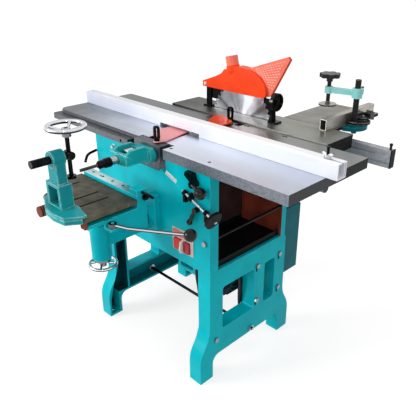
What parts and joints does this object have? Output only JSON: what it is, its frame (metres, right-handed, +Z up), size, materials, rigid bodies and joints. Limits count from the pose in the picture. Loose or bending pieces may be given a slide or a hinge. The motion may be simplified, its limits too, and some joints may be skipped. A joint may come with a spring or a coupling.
{
  "type": "combination woodworking machine",
  "caption": "Floor-standing woodworking machine: planer with inclined infeed and fence, saw with guard and sliding table, and slot mortiser, on one spindle.",
  "frame": {"origin": "on the floor, at the middle of the four anchor holes in the feet", "axes": "+X along the planer tables towards the infeed end, +Y from the mortiser side to the saw side, +Z up"},
  "size_m": [1.197, 1.242, 1.038],
  "materials": {
    "teal_paint": "gloss enamel on a casting",
    "motor_paint": "dark enamel",
    "ground_iron": "ground and oiled",
    "table_iron": "milled, dull",
    "pulley_iron": "turned",
    "saw_steel": "dull rolled plate",
    "bright_steel": "turned",
    "blade_steel": "ground",
    "tool_steel": "dark oxide",
    "black_steel": "black oxide",
    "black_sheet": "black paint",
    "aluminium": "extruded",
    "chrome": "polished plating",
    "black_plastic": "moulded phenolic",
    "guard_plastic": "moulded",
    "guard_red": "enamel on sheet",
    "switch_plastic": "moulded",
    "button_red": "moulded",
    "belt_rubber": "cord-reinforced",
    "cable_rubber": "smooth sheath"
  },
  "bodies": {
    "base": {"main_casting": "teal_paint", "leg_frame_left": "teal_paint", "leg_frame_right": "teal_paint", "tie_rod": "bright_steel", "frame_fasteners": "bright_steel", "motor_body": "motor_paint", "drive_belt": "belt_rubber", "belt_cover": "teal_paint", "bearing_housings": "teal_paint", "outfeed_table": "ground_iron", "planer_guard_posts": "black_steel", "saw_table": "saw_steel", "slide_rail": "aluminium", "saw_guard_post": "black_steel", "saw_front_post": "black_steel", "mortise_head": "teal_paint", "mortise_bracket": "teal_paint", "switch_plate": "switch_plastic", "chip_tray": "black_sheet", "motor_cable": "cable_rubber"},
    "spindle": {"spindle_shaft": "bright_steel", "cutter_block": "bright_steel", "planer_knives": "blade_steel", "spindle_pulley": "pulley_iron", "saw_blade": "blade_steel", "drill_chuck": "tool_steel", "drill_bit": "tool_steel"},
    "motor_rotor": {"motor_pulley": "pulley_iron"},
    "infeed": {"infeed_table": "ground_iron"},
    "feed_screw": {"infeed_screw": "bright_steel", "infeed_handwheel": "black_plastic"},
    "table_lock": {"table_lock_lever": "black_plastic"},
    "slide_lock": {"slide_lock_lever": "black_steel"},
    "planer_fence": {"fence": "aluminium"},
    "fence_clamp": {"fence_wing_screw": "black_plastic"},
    "front_guard": {"planer_guard_front": "guard_red"},
    "rear_guard": {"planer_guard_rear": "guard_red"},
    "saw_hood": {"saw_guard": "guard_plastic"},
    "post_knob": {"front_post_knob": "black_plastic"},
    "slider": {"sliding_table": "saw_steel", "table_end_bracket": "teal_paint"},
    "mitre": {"protractor": "black_steel", "mitre_fence": "aluminium"},
    "mitre_lock": {"mitre_knob": "black_plastic"},
    "work_clamp": {"clamp_arm": "teal_paint"},
    "clamp_lock": {"clamp_wing_knob": "black_plastic"},
    "clamp_spindle": {"clamp_screw": "black_steel"},
    "clamp_star": {"clamp_star_knob": "black_plastic"},
    "saddle": {"mortise_saddle": "teal_paint"},
    "column_wheel": {"column_handwheel": "chrome"},
    "cross_slide": {"mortise_cross_slide": "table_iron"},
    "mortiser_table": {"mortise_table": "table_iron", "hold_down_bracket": "teal_paint"},
    "table_lever": {"mortise_lever": "bright_steel", "lever_ball": "black_plastic"},
    "hold_arm": {"hold_down_arm": "bright_steel"},
    "hold_spindle": {"hold_down_screw": "bright_steel"},
    "hold_wheel": {"hold_down_handwheel": "chrome"},
    "stop_push": {"stop_button": "button_red"},
    "start_push": {"start_button": "button_red"}
  },
  "joints": [
    {"name": "spindle_turn", "type": "hinge", "parent": "base", "child": "spindle", "pos_m": [0, 0, 0.77], "axis": [0, 1, 0], "continuous": true},
    {"name": "motor_turn", "type": "hinge", "parent": "base", "child": "motor_rotor", "pos_m": [0.149, 0, 0.289], "axis": [0, 1, 0], "continuous": true},
    {"name": "feed_screw_turn", "type": "hinge", "parent": "base", "child": "feed_screw", "pos_m": [0.186, -0.203, 0.69036], "axis": [0.9245, 0, -0.3811], "range_deg": [0, 1080]},
    {"name": "infeed_slide", "type": "slide", "parent": "base", "child": "infeed", "axis": [0.9245, 0, -0.3811], "range_m": [0, 0.012]},
    {"name": "table_lock_turn", "type": "hinge", "parent": "infeed", "child": "table_lock", "pos_m": [0.24, -0.206, 0.729], "axis": [0, -1, 0], "range_deg": [0, 25]},
    {"name": "slide_lock_turn", "type": "hinge", "parent": "base", "child": "slide_lock", "pos_m": [0.243, -0.206, 0.643], "axis": [0, 1, 0], "range_deg": [-40, 40]},
    {"name": "fence_slide", "type": "slide", "parent": "base", "child": "planer_fence", "axis": [0, 1, 0], "range_m": [-0.115, 0.16]},
    {"name": "fence_clamp_turn", "type": "hinge", "parent": "planer_fence", "child": "fence_clamp", "pos_m": [0.567, -0.018, 0.85], "axis": [0, 0, 1], "range_deg": [0, 540]},
    {"name": "front_guard_swing", "type": "hinge", "parent": "base", "child": "front_guard", "pos_m": [0.028, -0.168, 0.804], "axis": [0, 0, 1], "range_deg": [0, 50], "stiffness_Nm_per_rad": 0.4, "springref_deg": -11.46},
    {"name": "rear_guard_swing", "type": "hinge", "parent": "base", "child": "rear_guard", "pos_m": [0.034, 0.17, 0.804], "axis": [0, 0, -1], "range_deg": [0, 30], "stiffness_Nm_per_rad": 0.4, "springref_deg": -11.46},
    {"name": "hood_lift", "type": "hinge", "parent": "base", "child": "saw_hood", "pos_m": [-0.176, 0.268, 0.896], "axis": [0, -1, 0], "range_deg": [0, 50]},
    {"name": "post_knob_turn", "type": "hinge", "parent": "base", "child": "post_knob", "pos_m": [0.164, 0.258, 0.88], "axis": [1, 0, 0], "range_deg": [0, 540]},
    {"name": "slider_travel", "type": "slide", "parent": "base", "child": "slider", "axis": [1, 0, 0], "range_m": [-0.36, 0.19]},
    {"name": "mitre_turn", "type": "hinge", "parent": "slider", "child": "mitre", "pos_m": [0.377, 0.467, 0.81], "axis": [0, 0, 1], "range_deg": [-45, 45]},
    {"name": "mitre_knob_turn", "type": "hinge", "parent": "mitre", "child": "mitre_lock", "pos_m": [0.376, 0.524, 0.82575], "axis": [1, 0, 0], "range_deg": [0, 540]},
    {"name": "clamp_arm_slide", "type": "slide", "parent": "mitre", "child": "work_clamp", "axis": [0, 0, 1], "range_m": [-0.04, 0.025]},
    {"name": "clamp_wing_turn", "type": "hinge", "parent": "work_clamp", "child": "clamp_lock", "pos_m": [0.378, 0.455, 0.921], "axis": [0, 1, 0], "range_deg": [0, 540]},
    {"name": "clamp_screw_slide", "type": "slide", "parent": "work_clamp", "child": "clamp_spindle", "axis": [0, 0, 1], "range_m": [-0.015, 0.03]},
    {"name": "clamp_star_turn", "type": "hinge", "parent": "clamp_spindle", "child": "clamp_star", "pos_m": [0.278, 0.415, 0.967], "axis": [0, 0, 1], "range_deg": [-1350, 2700]},
    {"name": "column_wheel_turn", "type": "hinge", "parent": "base", "child": "column_wheel", "pos_m": [-0.009, -0.388, 0.435], "axis": [0, 0, 1], "range_deg": [-3240, 1800]},
    {"name": "saddle_lift", "type": "slide", "parent": "base", "child": "saddle", "axis": [0, 0, 1], "range_m": [-0.045, 0.025]},
    {"name": "cross_travel", "type": "slide", "parent": "saddle", "child": "cross_slide", "axis": [0, 1, 0], "range_m": [-0.08, 0]},
    {"name": "table_travel", "type": "slide", "parent": "cross_slide", "child": "mortiser_table", "axis": [1, 0, 0], "range_m": [-0.06, 0.06]},
    {"name": "lever_swing", "type": "hinge", "parent": "saddle", "child": "table_lever", "pos_m": [0.162, -0.448, 0.653], "axis": [0, 0, 1], "range_deg": [-18, 18]},
    {"name": "hold_arm_slide", "type": "slide", "parent": "mortiser_table", "child": "hold_arm", "axis": [0, 1, 0], "range_m": [-0.005, 0.05]},
    {"name": "hold_screw_slide", "type": "slide", "parent": "hold_arm", "child": "hold_spindle", "axis": [0, 0, 1], "range_m": [-0.04, 0.045]},
    {"name": "hold_wheel_turn", "type": "hinge", "parent": "hold_spindle", "child": "hold_wheel", "pos_m": [0.031, -0.485, 0.905], "axis": [0, 0, 1], "range_deg": [-2880, 3240]},
    {"name": "stop_press", "type": "slide", "parent": "base", "child": "stop_push", "axis": [0, 1, 0], "range_m": [0, 0.003], "stiffness_N_per_m": 400, "springref_m": -0.002},
    {"name": "start_press", "type": "slide", "parent": "base", "child": "start_push", "axis": [0, 1, 0], "range_m": [0, 0.003], "stiffness_N_per_m": 400, "springref_m": -0.002}
  ],
  "couplings": [
    {"joint": "motor_turn", "follows": "spindle_turn", "ratio": 0.61111},
    {"joint": "feed_screw_turn", "follows": "infeed_slide", "rad_per_m": 1570.8},
    {"joint": "column_wheel_turn", "follows": "saddle_lift", "rad_per_m": 1256.6},
    {"joint": "lever_swing", "follows": "table_travel", "rad_per_m": 5},
    {"joint": "clamp_star_turn", "follows": "clamp_screw_slide", "rad_per_m": 1570.8},
    {"joint": "hold_wheel_turn", "follows": "hold_screw_slide", "rad_per_m": 1256.6}
  ]
}
